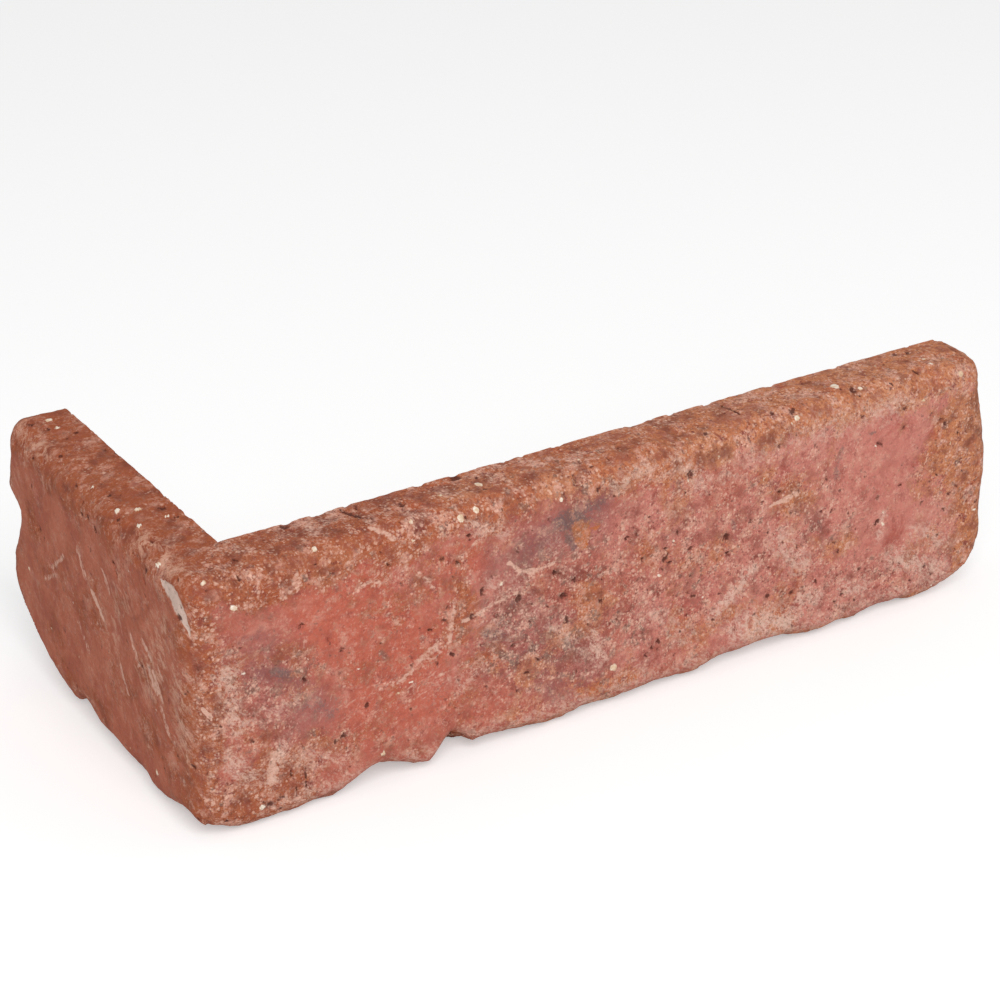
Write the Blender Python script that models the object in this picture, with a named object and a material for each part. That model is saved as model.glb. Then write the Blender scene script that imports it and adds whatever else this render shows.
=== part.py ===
"""Corner brick slip: the outside corner of a tumbled facing brick, sawn off as one thin L.

The outer faces, beds and ends are the brick's own skin, with rounded, worn arrises.
The two backs are flat saw cuts that meet in a sharp inner corner.
Metres, +Z up. +X runs along the stretcher leg and +Y along the header leg, towards the wall.
The origin is at the middle of the bounding box, on the bed that the slip stands on.
Inside the functions the outer corner of the lower bed is the zero point.
"""

import bmesh
import bpy
import numpy as np

# Sizes of the slip as sawn
stretcher_leg = 0.240
header_leg = 0.110
height = 0.070
thickness = 0.0165

# Tumbled arrises
arris_radius = 0.0068
arris_unevenness = 0.0016
arris_segments = 5
stretcher_corner_radius = 0.018
header_corner_radius = 0.026

# Hollows left in the skin, and the strip of each bed beside the saw cut that stayed flat
face_hollow = 0.0007
upper_rim_hollow = 0.0009
flat_bed_strip = 0.0055
bed_slope_run = 0.0045

# Spacing of the mesh lines
lengthwise_pitch = 0.0034
crosswise_pitch = 0.0030
height_pitch = 0.0034

# Wear marks. Each is a place on the arris or up the end, how far the wear runs before it and
# beyond it, and how much clay is gone at its deepest.
# Lower arris of the stretcher face: places from the outer corner, clay gone upwards
stretcher_lower_wear = (
    (0.000, 0.001, 0.013, 0.0036),
    (0.049, 0.013, 0.016, 0.0046),
    (0.070, 0.008, 0.009, 0.0062),
    (0.080, 0.012, 0.020, 0.0024),
    (0.130, 0.035, 0.030, 0.0009),
    (0.164, 0.030, 0.022, 0.0026),
    (0.206, 0.012, 0.012, 0.0013),
    (stretcher_leg, 0.020, 0.001, 0.0040),
)
# Lower arris of the header face: places from the outer corner, clay gone upwards
header_lower_wear = (
    (0.008, 0.010, 0.018, 0.0036),
    (0.050, 0.030, 0.030, 0.0010),
    (0.067, 0.012, 0.010, 0.0050),
    (header_leg - 0.008, 0.036, 0.010, 0.0076),
)
# End of the stretcher leg: places up from the lower bed, clay gone back along the leg
stretcher_end_wear = (
    (0.000, 0.001, 0.016, 0.0034),
    (height, 0.038, 0.001, 0.0050),
)
# End of the header leg: places up from the lower bed, clay gone back along the leg
header_end_wear = (
    (0.000, 0.001, 0.026, 0.0095),
    (height - 0.004, 0.018, 0.012, 0.0046),
)
# Notch broken out of the outer arris of that end, and the share of it that reaches the saw cut
header_end_notch = ((0.0466, 0.018, 0.004, 0.0080),)
notch_left_at_back = 0.4


def ramp(value, low, high):
    """Smooth step from 0 at low to 1 at high."""
    t = np.clip((value - low) / (high - low), 0.0, 1.0)
    return t * t * (3 - 2 * t)


def hollows(along, across, period, phase):
    """Shallow hollows from 0 on the flat parts to 1: three crossing sines of unlike periods."""
    turn = 2 * np.pi / period
    total = np.sin(turn * along + phase)
    total = total + np.sin(turn * (0.61 * along + 1.27 * across) + 2.3 * phase)
    total = total + np.sin(turn * (1.83 * along - 0.71 * across) + 4.1 * phase)
    return np.clip(total / 2.5, 0.0, 1.0)


def clay_gone(place, marks):
    """How much the wear marks take at each place: the deepest mark there counts."""
    gone = np.zeros_like(place)
    for at, before, beyond, most in marks:
        run = np.where(place < at, before, beyond)
        gone = np.maximum(gone, most * ramp(1 - np.abs(place - at) / run, 0.0, 1.0))
    return gone


def rounded(distances, radius):
    """Distance past a set of square planes whose meeting edges are rounded to a radius."""
    over = np.maximum(distances + radius, 0.0)
    return np.sqrt((over ** 2).sum(axis=0)) - radius


def past_skin(points):
    """How far each point lies outside the worn skin of the brick, below 0 when inside it."""
    x, y, z = points.T
    depth = np.minimum(x, y)
    along = x + y
    on_stretcher = y <= x
    rise = np.where(
        on_stretcher,
        clay_gone(x, stretcher_lower_wear),
        clay_gone(y, header_lower_wear),
    )
    strip_edge = thickness - flat_bed_strip + np.clip(0.8 * rise - 0.0024, 0.0, 0.5 * flat_bed_strip)
    rim = 1 - ramp(depth, strip_edge - bed_slope_run, strip_edge)
    notch_share = 1 - (1 - notch_left_at_back) * ramp(x, 0.3 * thickness, thickness)
    header_end = np.maximum(
        clay_gone(z, header_end_wear),
        clay_gone(z, header_end_notch) * notch_share,
    )
    past = np.stack((
        face_hollow * hollows(x, z, 0.061, 0.4) - y,
        face_hollow * hollows(y, z, 0.053, 1.9) - x,
        rise * rim - z,
        upper_rim_hollow * rim * hollows(along, depth, 0.043, 5.1) + z - height,
        clay_gone(z, stretcher_end_wear) + x - stretcher_leg,
        header_end + y - header_leg,
    ))
    radius = arris_radius + arris_unevenness * (hollows(along, z, 0.037, 1.1) - 0.5)
    skin = rounded(past, radius)
    skin = np.maximum(skin, rounded(past[[2, 4]], stretcher_corner_radius))
    return np.maximum(skin, rounded(past[[2, 5]], header_corner_radius))


def stations(start, stop, pitch):
    """Evenly spaced places from start to stop, both included, about pitch apart."""
    count = max(1, round((stop - start) / pitch))
    return [start + (stop - start) * i / count for i in range(count + 1)]


def plan_stations(leg):
    """Cut places along one leg from its outer corner to its end, clear of the arrises."""
    across = stations(arris_radius, thickness, crosswise_pitch)[1:]
    along = stations(thickness, leg - arris_radius, lengthwise_pitch)[1:-1]
    return across + along


def square_blank():
    """The square-edged L: its plan, raised to the height and scored with the mesh lines."""
    outline = (
        (0, 0), (stretcher_leg, 0), (stretcher_leg, thickness),
        (thickness, thickness), (thickness, header_leg), (0, header_leg),
    )
    bm = bmesh.new()
    plan = bm.faces.new([bm.verts.new((x, y, 0)) for x, y in outline])
    raised = bmesh.ops.extrude_face_region(bm, geom=[plan], use_keep_orig=True)
    top = [item for item in raised["geom"] if isinstance(item, bmesh.types.BMVert)]
    bmesh.ops.translate(bm, verts=top, vec=(0, 0, height))
    bmesh.ops.recalc_face_normals(bm, faces=bm.faces)
    cuts = (
        ((1, 0, 0), plan_stations(stretcher_leg)),
        ((0, 1, 0), plan_stations(header_leg)),
        ((0, 0, 1), stations(arris_radius, height - arris_radius, height_pitch)[1:-1]),
    )
    for normal, places in cuts:
        for place in places:
            bmesh.ops.bisect_plane(
                bm,
                geom=bm.verts[:] + bm.edges[:] + bm.faces[:],
                dist=1e-6,
                plane_co=[place * n for n in normal],
                plane_no=normal,
            )
    return bm


def skin_planes(vert):
    """Which of the brick's own six planes a point of the square blank lies on."""
    x, y, z = vert.co
    gaps = (x, y, z, height - z, stretcher_leg - x, header_leg - y)
    return {index for index, gap in enumerate(gaps) if abs(gap) < 1e-6}


def round_arrises(bm):
    """Bevel every arris between two planes of the skin. The sawn arrises stay sharp."""
    arrises = [
        edge for edge in bm.edges
        if len(skin_planes(edge.verts[0]) & skin_planes(edge.verts[1])) == 2
    ]
    bmesh.ops.bevel(
        bm,
        geom=arrises,
        offset=arris_radius,
        offset_type="OFFSET",
        segments=arris_segments,
        profile=0.5,
        affect="EDGES",
        clamp_overlap=True,
    )


def core_points(points):
    """A place inside the clay for each point, square behind it, that wear never reaches.

    A point of a sawn back keeps its depth, so wear moves it only within the saw cut.
    """
    core = points.copy()
    seat = 0.62 * thickness
    end_reach = 0.92 * header_corner_radius
    for axis, leg in ((0, stretcher_leg), (1, header_leg)):
        place = points[:, axis]
        behind_face = seat + (thickness - seat) * place / thickness
        core[:, axis] = np.where(place < thickness, behind_face, np.minimum(place, leg - end_reach))
    core[:, 2] = np.clip(points[:, 2], 0.31 * height, 0.69 * height)
    return core


def wear_down(bm):
    """Draw each point outside the worn skin straight towards its core until it meets the skin."""
    square = np.array([vert.co for vert in bm.verts], dtype=float)
    way = core_points(square) - square
    worn = past_skin(square) > 0
    low = np.zeros(len(square))
    high = np.ones(len(square))
    for _ in range(30):
        middle = (low + high) / 2
        outside = past_skin(square + way * middle[:, None]) > 0
        low = np.where(outside, middle, low)
        high = np.where(outside, high, middle)
    moved = square + way * np.where(worn, high, 0.0)[:, None]
    for vert, place in zip(bm.verts, moved):
        vert.co = place


def flatten_backs(bm):
    """Make each saw cut one face again, because a saw leaves it flat."""
    for axis in (0, 1):
        back = [
            face for face in bm.faces
            if all(abs(vert.co[axis] - thickness) < 1e-7 for vert in face.verts)
        ]
        bmesh.ops.dissolve_faces(bm, faces=back, use_verts=True)


def fired_clay():
    """Orange-red fired clay with a dry, matt surface."""
    material = bpy.data.materials.new("fired_clay")
    material.use_nodes = True
    shader = material.node_tree.nodes["Principled BSDF"]
    shader.inputs["Base Color"].default_value = (0.42, 0.115, 0.072, 1.0)
    shader.inputs["Roughness"].default_value = 0.92
    shader.inputs["Metallic"].default_value = 0.0
    return material


def corner_slip():
    """Blank, rounded arrises, wear and flat backs, then the origin under the middle."""
    bm = square_blank()
    round_arrises(bm)
    wear_down(bm)
    flatten_backs(bm)
    bmesh.ops.triangulate(bm, faces=bm.faces, quad_method="BEAUTY", ngon_method="BEAUTY")
    bmesh.ops.translate(bm, verts=bm.verts, vec=(-stretcher_leg / 2, -header_leg / 2, 0))
    mesh = bpy.data.meshes.new("corner_slip")
    bm.to_mesh(mesh)
    bm.free()
    mesh.materials.append(fired_clay())
    mesh.shade_smooth()
    mesh.set_sharp_from_angle(angle=0.7)
    slip = bpy.data.objects.new("corner_slip", mesh)
    bpy.context.scene.collection.objects.link(slip)


for leftover in list(bpy.data.objects):
    bpy.data.objects.remove(leftover, do_unlink=True)

corner_slip()
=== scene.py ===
import math

import bpy
import numpy as np
from mathutils import Matrix, Vector


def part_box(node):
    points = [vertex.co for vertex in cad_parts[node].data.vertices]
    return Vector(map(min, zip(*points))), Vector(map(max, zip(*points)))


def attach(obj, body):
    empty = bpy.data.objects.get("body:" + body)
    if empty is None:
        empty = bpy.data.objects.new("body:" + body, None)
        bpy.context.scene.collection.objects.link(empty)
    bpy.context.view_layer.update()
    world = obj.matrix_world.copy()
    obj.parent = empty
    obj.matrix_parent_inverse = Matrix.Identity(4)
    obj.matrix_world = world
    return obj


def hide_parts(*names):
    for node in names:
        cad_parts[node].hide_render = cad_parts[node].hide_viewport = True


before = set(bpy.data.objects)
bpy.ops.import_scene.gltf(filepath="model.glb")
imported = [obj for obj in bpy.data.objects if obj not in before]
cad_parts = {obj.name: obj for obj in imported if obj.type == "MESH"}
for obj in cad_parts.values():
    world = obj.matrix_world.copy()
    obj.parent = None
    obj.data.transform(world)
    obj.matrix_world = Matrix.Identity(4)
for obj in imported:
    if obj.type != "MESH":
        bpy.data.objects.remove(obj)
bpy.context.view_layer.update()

mm = 0.001


# The slip as sawn and tumbled: the outside corner of a facing brick, cut off as one thin L of
# fired clay. The drum rounded every arris of the brick and broke flakes off the lower ones,
# and the saw left two flat backs that meet in a sharp inner corner.

low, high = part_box("corner_slip")
stretcher_leg = high.x - low.x
header_leg = high.y - low.y
height = high.z - low.z
thickness = 16.5 * mm

arris_radius = 6.8 * mm
arris_unevenness = 1.6 * mm
stretcher_corner_radius = 18 * mm
header_corner_radius = 26 * mm
face_hollow = 0.7 * mm
upper_rim_hollow = 0.9 * mm
flat_bed_strip = 5.5 * mm
strip_spared_by = 3 * mm
strip_narrowing = 0.8
bed_slope_run = 4.5 * mm

# Wear marks: the place, how far the wear runs before it and beyond it, and the clay gone there.
# The lower arrises are worn upwards and the two ends are worn back along their legs.
stretcher_lower_wear = (
    (0 * mm, 1 * mm, 13 * mm, 3.6 * mm),
    (49 * mm, 13 * mm, 16 * mm, 4.6 * mm),
    (70 * mm, 8 * mm, 9 * mm, 6.2 * mm),
    (80 * mm, 12 * mm, 20 * mm, 2.4 * mm),
    (130 * mm, 35 * mm, 30 * mm, 0.9 * mm),
    (164 * mm, 30 * mm, 22 * mm, 2.6 * mm),
    (206 * mm, 12 * mm, 12 * mm, 1.3 * mm),
    (stretcher_leg, 20 * mm, 1 * mm, 4.0 * mm),
)
header_lower_wear = (
    (8 * mm, 10 * mm, 18 * mm, 3.6 * mm),
    (50 * mm, 30 * mm, 30 * mm, 1.0 * mm),
    (67 * mm, 12 * mm, 10 * mm, 5.0 * mm),
    (header_leg - 8 * mm, 36 * mm, 10 * mm, 7.6 * mm),
)
stretcher_end_wear = (
    (0 * mm, 1 * mm, 16 * mm, 3.4 * mm),
    (height, 38 * mm, 1 * mm, 5.0 * mm),
)
header_end_wear = (
    (0 * mm, 1 * mm, 26 * mm, 9.5 * mm),
    (height - 4 * mm, 18 * mm, 12 * mm, 4.6 * mm),
)
# A notch broken out of the header end, and the share of it that reaches the saw cut
header_end_notch = ((46.6 * mm, 18 * mm, 4 * mm, 8.0 * mm),)
notch_left_at_back = 0.4


def ramp(value, start, end):
    """Smooth step from 0 at start to 1 at end: 3t^2 - 2t^3."""
    t = np.clip((value - start) / (end - start), 0.0, 1.0)
    return t * t * (3 - 2 * t)


def hollows(along, across, period, phase):
    """Shallow hollows from 0 to 1: three crossing sines of unlike periods, cut off below 0."""
    turn = 2 * np.pi / period
    total = np.sin(turn * along + phase)
    total = total + np.sin(turn * (0.61 * along + 1.27 * across) + 2.3 * phase)
    total = total + np.sin(turn * (1.83 * along - 0.71 * across) + 4.1 * phase)
    return np.clip(total / 2.5, 0.0, 1.0)


def clay_gone(place, marks):
    """The deepest of the wear marks at each place, each one a smooth step up and down."""
    gone = np.zeros_like(place)
    for at, before, beyond, most in marks:
        run = np.where(place < at, before, beyond)
        gone = np.maximum(gone, most * ramp(1 - np.abs(place - at) / run, 0.0, 1.0))
    return gone


def rounded(distances, radius):
    """Distance past square planes with rounded meeting edges: root of the squared overshoots."""
    over = np.maximum(distances + radius, 0.0)
    return np.sqrt((over ** 2).sum(axis=0)) - radius


def past_skin(points):
    """How far each point lies outside the worn brick: past its six planes, drawn in by the wear.

    The strip of each bed beside the saw cut stays flat, and narrows where the arris is worn far
    in. Outside it the bed slopes into the worn rim by a smooth step.
    """
    x, y, z = points.T
    depth = np.minimum(x, y)
    along = x + y
    rise = np.where(
        y <= x,
        clay_gone(x, stretcher_lower_wear),
        clay_gone(y, header_lower_wear),
    )
    narrowing = np.clip(strip_narrowing * (rise - strip_spared_by), 0.0, flat_bed_strip / 2)
    strip_edge = thickness - flat_bed_strip + narrowing
    rim = 1 - ramp(depth, strip_edge - bed_slope_run, strip_edge)
    notch_share = 1 - (1 - notch_left_at_back) * ramp(x, 0.3 * thickness, thickness)
    header_end = np.maximum(
        clay_gone(z, header_end_wear),
        clay_gone(z, header_end_notch) * notch_share,
    )
    past = np.stack((
        face_hollow * hollows(x, z, period=61 * mm, phase=0.4) - y,
        face_hollow * hollows(y, z, period=53 * mm, phase=1.9) - x,
        rise * rim - z,
        upper_rim_hollow * rim * hollows(along, depth, period=43 * mm, phase=5.1) + z - height,
        clay_gone(z, stretcher_end_wear) + x - stretcher_leg,
        header_end + y - header_leg,
    ))
    radius = arris_radius + arris_unevenness * (hollows(along, z, period=37 * mm, phase=1.1) - 0.5)
    skin = rounded(past, radius)
    skin = np.maximum(skin, rounded(past[[2, 4]], stretcher_corner_radius))
    return np.maximum(skin, rounded(past[[2, 5]], header_corner_radius))


def core_points(points):
    """A place in the clay behind each point, square to its face, that wear never reaches."""
    core = points.copy()
    seat = 0.62 * thickness
    end_reach = 0.92 * header_corner_radius
    lowest = 0.31 * height
    for axis, leg in ((0, stretcher_leg), (1, header_leg)):
        place = points[:, axis]
        behind_face = seat + (thickness - seat) * place / thickness
        core[:, axis] = np.where(place < thickness, behind_face, np.minimum(place, leg - end_reach))
    core[:, 2] = np.clip(points[:, 2], lowest, height - lowest)
    return core


def worn(points):
    """Each point outside the skin slides towards its core until it meets the skin.

    The meeting place is found by halving the way that is left, over and over.
    """
    halvings = 16
    way = core_points(points) - points
    outside = past_skin(points) > 0
    start, course = points[outside], way[outside]
    near, far = np.zeros(len(start)), np.ones(len(start))
    for _ in range(halvings):
        middle = (near + far) / 2
        still_out = past_skin(start + course * middle[:, None]) > 0
        near = np.where(still_out, middle, near)
        far = np.where(still_out, far, middle)
    moved = points.copy()
    moved[outside] = start + course * far[:, None]
    return moved


def square_skin(columns_long, columns_short, face_rows, bed_rows):
    """Closed skin of the square-edged L, as points, their places and faces.

    Columns run from the stretcher's end round the corner to the header's end. Each column is a
    path out under the lower bed, up the face and in over the top bed, and a column's two back
    points are its face points drawn in to the saw cut in proportion. A flat grid closes each
    end, and each saw cut is one face, as flat as the blade left it.
    """
    to_corner = np.linspace(stretcher_leg, 0, columns_long + 1)
    to_end = np.linspace(0, header_leg, columns_short + 1)[1:]
    face = np.concatenate((
        np.stack((to_corner, 0 * to_corner), axis=1),
        np.stack((0 * to_end, to_end), axis=1),
    ))
    legs = np.array((stretcher_leg, header_leg))
    back = thickness + face * (legs - thickness) / legs

    inwards = np.linspace(0, 1, bed_rows + 1)
    upwards = np.linspace(0, 1, face_rows + 1)
    share_in = np.concatenate((inwards[:0:-1], 0 * upwards, inwards[1:]))
    share_up = np.concatenate((0 * inwards[1:], upwards, 0 * inwards[1:] + 1))
    plan = face[:, None, :] + (back - face)[:, None, :] * share_in[:, None]
    level = np.broadcast_to(share_up * height, plan.shape[:2])
    points = [np.concatenate((plan, level[..., None]), axis=2).reshape(-1, 3)]

    index = np.arange(plan.shape[0] * plan.shape[1]).reshape(plan.shape[:2])
    quads = [np.stack((index[:-1, :-1], index[:-1, 1:], index[1:, 1:], index[1:, :-1]), axis=2)]
    end_backs = []
    for column, order in ((0, slice(None)), (len(index) - 1, slice(None, None, -1))):
        start = sum(len(p) for p in points)
        across = face[column] + (back - face)[column] * inwards[1:, None]
        filling = np.empty((bed_rows, face_rows - 1, 3))
        filling[..., :2] = across[:, None, :]
        filling[..., 2] = upwards[1:-1] * height
        points.append(filling.reshape(-1, 3))
        grid = np.empty((bed_rows + 1, face_rows + 1), dtype=int)
        grid[:, 0] = index[column, bed_rows::-1]
        grid[0, :] = index[column, bed_rows:bed_rows + face_rows + 1]
        grid[:, -1] = index[column, bed_rows + face_rows:]
        grid[1:, 1:-1] = start + np.arange(filling[..., 0].size).reshape(bed_rows, face_rows - 1)
        corners = (grid[:-1, :-1], grid[1:, :-1], grid[1:, 1:], grid[:-1, 1:])
        quads.append(np.stack(corners, axis=2)[..., order])
        end_backs.append(grid[-1])

    corner = columns_long
    stretcher_back = np.concatenate((
        index[corner::-1, -1], end_backs[0][-2:0:-1], index[:corner + 1, 0],
    ))
    header_back = np.concatenate((
        index[corner:, 0], end_backs[1][1:-1], index[:corner - 1:-1, -1],
    ))
    faces = np.concatenate([q.reshape(-1, 4) for q in quads]).tolist()
    return np.concatenate(points), faces, [stretcher_back.tolist(), header_back.tolist()]


square, skin_faces, back_faces = square_skin(
    columns_long=384, columns_short=176, face_rows=112, bed_rows=25,
)
skin = worn(square)
slip_mesh = bpy.data.meshes.new("corner_slip_skin")
slip_mesh.from_pydata(skin, [], skin_faces + back_faces)
outward = np.empty(3 * len(skin), dtype=np.float32)
slip_mesh.vertex_normals.foreach_get("vector", outward)
outward = outward.reshape(-1, 3).astype(float)


# The fired skin of that brick: coarse clay with grog and sand in it, nearly smooth from the mould,
# and worn through at the tumbled rims to a sandy body with holes. Patches, scrapes, cracks and
# the one sprung flake are placed one by one, where the photograph shows them.

x, y, z = skin.T
depth = np.minimum(x, y)


def lattice_chance(cells, seed):
    """A repeatable number from 0 to 1 for each whole-numbered cell.

    Its three numbers are multiplied by big odd ones and added up with the seed, and the sum's
    digits are mixed twice more.
    """
    mixers = np.array((73856093, 19349663, 83492791), dtype=np.uint64)
    key = (cells.astype(np.int64).astype(np.uint64) * mixers).sum(axis=-1, dtype=np.uint64)
    key = (key + np.uint64(seed * 7919)) * np.uint64(0x9E3779B97F4A7C15)
    key = (key ^ (key >> np.uint64(29))) * np.uint64(0xBF58476D1CE4E5B9)
    key = key ^ (key >> np.uint64(32))
    return (key & np.uint64(0xFFFFFF)).astype(float) / 0xFFFFFF


def lumps(points, size, seed):
    """Smooth random field from -1 to 1: chance values at a lattice's corners, eased between."""
    place = points / size
    cell = np.floor(place)
    part = place - cell
    part = part * part * (3 - 2 * part)
    total = np.zeros(len(points))
    for corner in np.ndindex(2, 2, 2):
        share = np.where(corner, part, 1 - part).prod(axis=1)
        total += share * lattice_chance(cell + corner, seed)
    return 2 * total - 1


def crumble(points, size, seed, layers=3):
    """Lumps upon lumps: each layer half the size and six tenths of the strength of the last."""
    total = np.zeros(len(points))
    for layer in range(layers):
        total += 0.6 ** layer * lumps(points, size / 2 ** layer, seed + layer)
    return total / sum(0.6 ** layer for layer in range(layers))


def pocks(points, spacing, most, share, seed):
    """Bowls from 0 to 1 round chance centres, one to a cell: 1 - (distance / radius)^2."""
    cell = np.floor(points / spacing)
    deepest = np.zeros(len(points))
    for step in np.ndindex(3, 3, 3):
        home = cell + step - 1
        centre = np.stack([lattice_chance(home, seed + k) for k in range(3)], axis=1)
        radius = most * (0.35 + 0.65 * lattice_chance(home, seed + 3) ** 2)
        reach = ((points - (home + centre) * spacing) ** 2).sum(axis=1) / radius ** 2
        bowl = np.where(lattice_chance(home, seed + 4) < share, 1 - reach, 0.0)
        deepest = np.maximum(deepest, bowl)
    return deepest


def on_stretcher(along, up, deep=0.0):
    """A place by its distances from the outer corner, the bed and the stretcher face, in mm."""
    return np.array((along, deep, up)) * mm


def on_header(along, up, deep=0.0):
    """A place by its distances from the outer corner, the bed and the header face, in mm."""
    return np.array((deep, along, up)) * mm


def near(points, centre, across):
    """1 at a centre, falling to 0 at half the width across: a smooth step of the distance."""
    return 1 - ramp(np.linalg.norm(points - centre, axis=1), 0.0, across / 2)


def gap_to(points, start, end):
    """Distance of each point from a straight line that stops at its two ends."""
    run = end - start
    share = np.clip((points - start) @ run / (run @ run), 0, 1)
    return np.linalg.norm(points - start - share[:, None] * run, axis=1)


def strongest(points, lines, full, out):
    """The strongest of the listed lines at each point, each from 0 to its own strength.

    A line has its strength up to one share of its width from the middle, and eases down to
    nothing at the other share.
    """
    total = np.zeros(len(points))
    for start, end, width, strength in lines:
        faded = ramp(gap_to(points, start, end), full * width, out * width)
        total = np.maximum(total, strength * (1 - faded))
    return total


def crisp_lines(points, lines):
    """Scrapes and cracks: at full strength over the middle half, and nothing past the sides."""
    return strongest(points, lines, full=0.25, out=0.5)


def soft_patches(points, lines):
    """Patches of colour: fading all the way from the middle line to past the sides."""
    return strongest(points, lines, full=0.0, out=0.75)


def round_spots(points, spots):
    """Bowls from 0 to 1 on listed centres: 1 - (distance / radius)^2, whichever is deepest."""
    total = np.zeros(len(points))
    for centre, width in spots:
        reach = ((points - centre) ** 2).sum(axis=1) / (width / 2) ** 2
        total = np.maximum(total, 1 - reach)
    return total


# How far each place is worn through to the sandy body: the rims and beds, and two spots on the
# stretcher face, at the corner's foot and near the top of the far end
top_band = 11 * mm
foot_band = 3.5 * mm
corner_band = 9 * mm
stretcher_end_band = 15 * mm
header_end_band = 9 * mm
bed_from = 3 * mm
patchy = crumble(skin, 9 * mm, seed=50, layers=4)
bands = np.stack((
    1 - (height - z) / top_band,
    1 - z / foot_band,
    1 - np.maximum(x, y) / corner_band,
    1 - (stretcher_leg - x) / stretcher_end_band,
    1 - (header_leg - y) / header_end_band,
    np.where(depth > bed_from, 1.0, -1.0),
    near(skin, on_stretcher(12, 4), 44 * mm),
    near(skin, on_stretcher(230, 50), 40 * mm),
))
worn_through = ramp(bands.max(axis=0) + 0.7 * patchy, -0.45, 0.75)

# Patches that the kiln left redder, duller, darker or yellower, and pale bloom: start, end, width
# and strength of each
terracotta_patches = (
    (on_stretcher(38, 50), on_stretcher(60, 34), 38 * mm, 1.0),
    (on_stretcher(46, 24), on_stretcher(64, 20), 26 * mm, 0.8),
    (on_stretcher(68, 58), on_stretcher(76, 54), 16 * mm, 0.6),
    (on_stretcher(76, 12), on_stretcher(82, 14), 14 * mm, 0.5),
)
mauve_patches = (
    (on_stretcher(86, 34), on_stretcher(104, 16), 30 * mm, 1.0),
    (on_stretcher(88, 52), on_stretcher(106, 57), 24 * mm, 1.0),
    (on_stretcher(18, 46), on_stretcher(28, 28), 26 * mm, 0.8),
    (on_stretcher(112, 30), on_stretcher(122, 24), 26 * mm, 0.5),
    (on_stretcher(66, 44), on_stretcher(74, 28), 14 * mm, 0.4),
)
smoke_patches = (
    (on_stretcher(90, 53), on_stretcher(110, 61), 15 * mm, 0.85),
    (on_stretcher(101, 43), on_stretcher(113, 38), 9 * mm, 0.7),
    (on_stretcher(96, 30), on_stretcher(98, 12), 10 * mm, 0.65),
    (on_stretcher(80, 34), on_stretcher(88, 22), 9 * mm, 0.6),
    (on_stretcher(17, 43), on_stretcher(27, 37), 10 * mm, 0.8),
    (on_stretcher(12, 53), on_stretcher(20, 52), 7 * mm, 0.6),
    (on_stretcher(122, 10), on_stretcher(134, 14), 9 * mm, 0.5),
    (on_stretcher(180, 36), on_stretcher(184, 27), 8 * mm, 0.6),
    (on_stretcher(152, 42), on_stretcher(154, 32), 7 * mm, 0.5),
)
slate_blots = (
    (on_stretcher(101, 58.5), on_stretcher(105, 56.5), 8 * mm, 1.0),
    (on_stretcher(102.5, 54), on_stretcher(103.5, 51), 4.5 * mm, 0.8),
    (on_stretcher(108, 60), on_stretcher(114, 62.5), 5.5 * mm, 0.7),
    (on_stretcher(28, 31), on_stretcher(36, 27), 10 * mm, 0.5),
    (on_stretcher(38.5, 19), on_stretcher(39.5, 18.5), 4 * mm, 0.7),
    (on_stretcher(71, 51), on_stretcher(72, 48), 4.5 * mm, 0.8),
    (on_stretcher(79, 34), on_stretcher(84, 31), 6 * mm, 0.8),
    (on_stretcher(81, 23), on_stretcher(83, 22), 5 * mm, 0.7),
    (on_stretcher(89, 25), on_stretcher(91, 24), 4 * mm, 0.6),
    (on_stretcher(86, 40), on_stretcher(87, 39), 3 * mm, 0.6),
    (on_stretcher(62, 33), on_stretcher(63, 31), 4 * mm, 0.5),
    (on_stretcher(99, 27), on_stretcher(101, 22), 5 * mm, 0.5),
    (on_stretcher(58, 55), on_stretcher(60, 53), 3.5 * mm, 0.8),
    (on_stretcher(50, 38), on_stretcher(51, 36), 3 * mm, 0.7),
    (on_stretcher(37, 60), on_stretcher(38, 59), 3 * mm, 0.6),
    (on_stretcher(22, 41), on_stretcher(26, 39), 5 * mm, 0.8),
    (on_stretcher(159, 61), on_stretcher(167, 62), 5 * mm, 0.5),
    (on_stretcher(186.5, 55), on_stretcher(186, 48), 4 * mm, 0.6),
    (on_stretcher(195, 57), on_stretcher(198, 57), 2 * mm, 0.7),
    (on_stretcher(181, 37), on_stretcher(182, 27), 4 * mm, 0.5),
    (on_stretcher(152, 44), on_stretcher(153, 41), 3 * mm, 0.6),
    (on_stretcher(160, 54), on_stretcher(165, 53), 5 * mm, 0.4),
    (on_stretcher(93, 15), on_stretcher(94, 13), 4 * mm, 0.6),
)
ochre_blots = (
    (on_stretcher(106, 54.5), on_stretcher(106.5, 51.5), 4.8 * mm, 1.3),
    (on_stretcher(109, 54), on_stretcher(111, 54), 2.6 * mm, 0.6),
    (on_stretcher(42, 70), on_stretcher(50, 71), 6 * mm, 0.6),
    (on_stretcher(106, 9), on_stretcher(122, 8), 7 * mm, 0.6),
)
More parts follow.
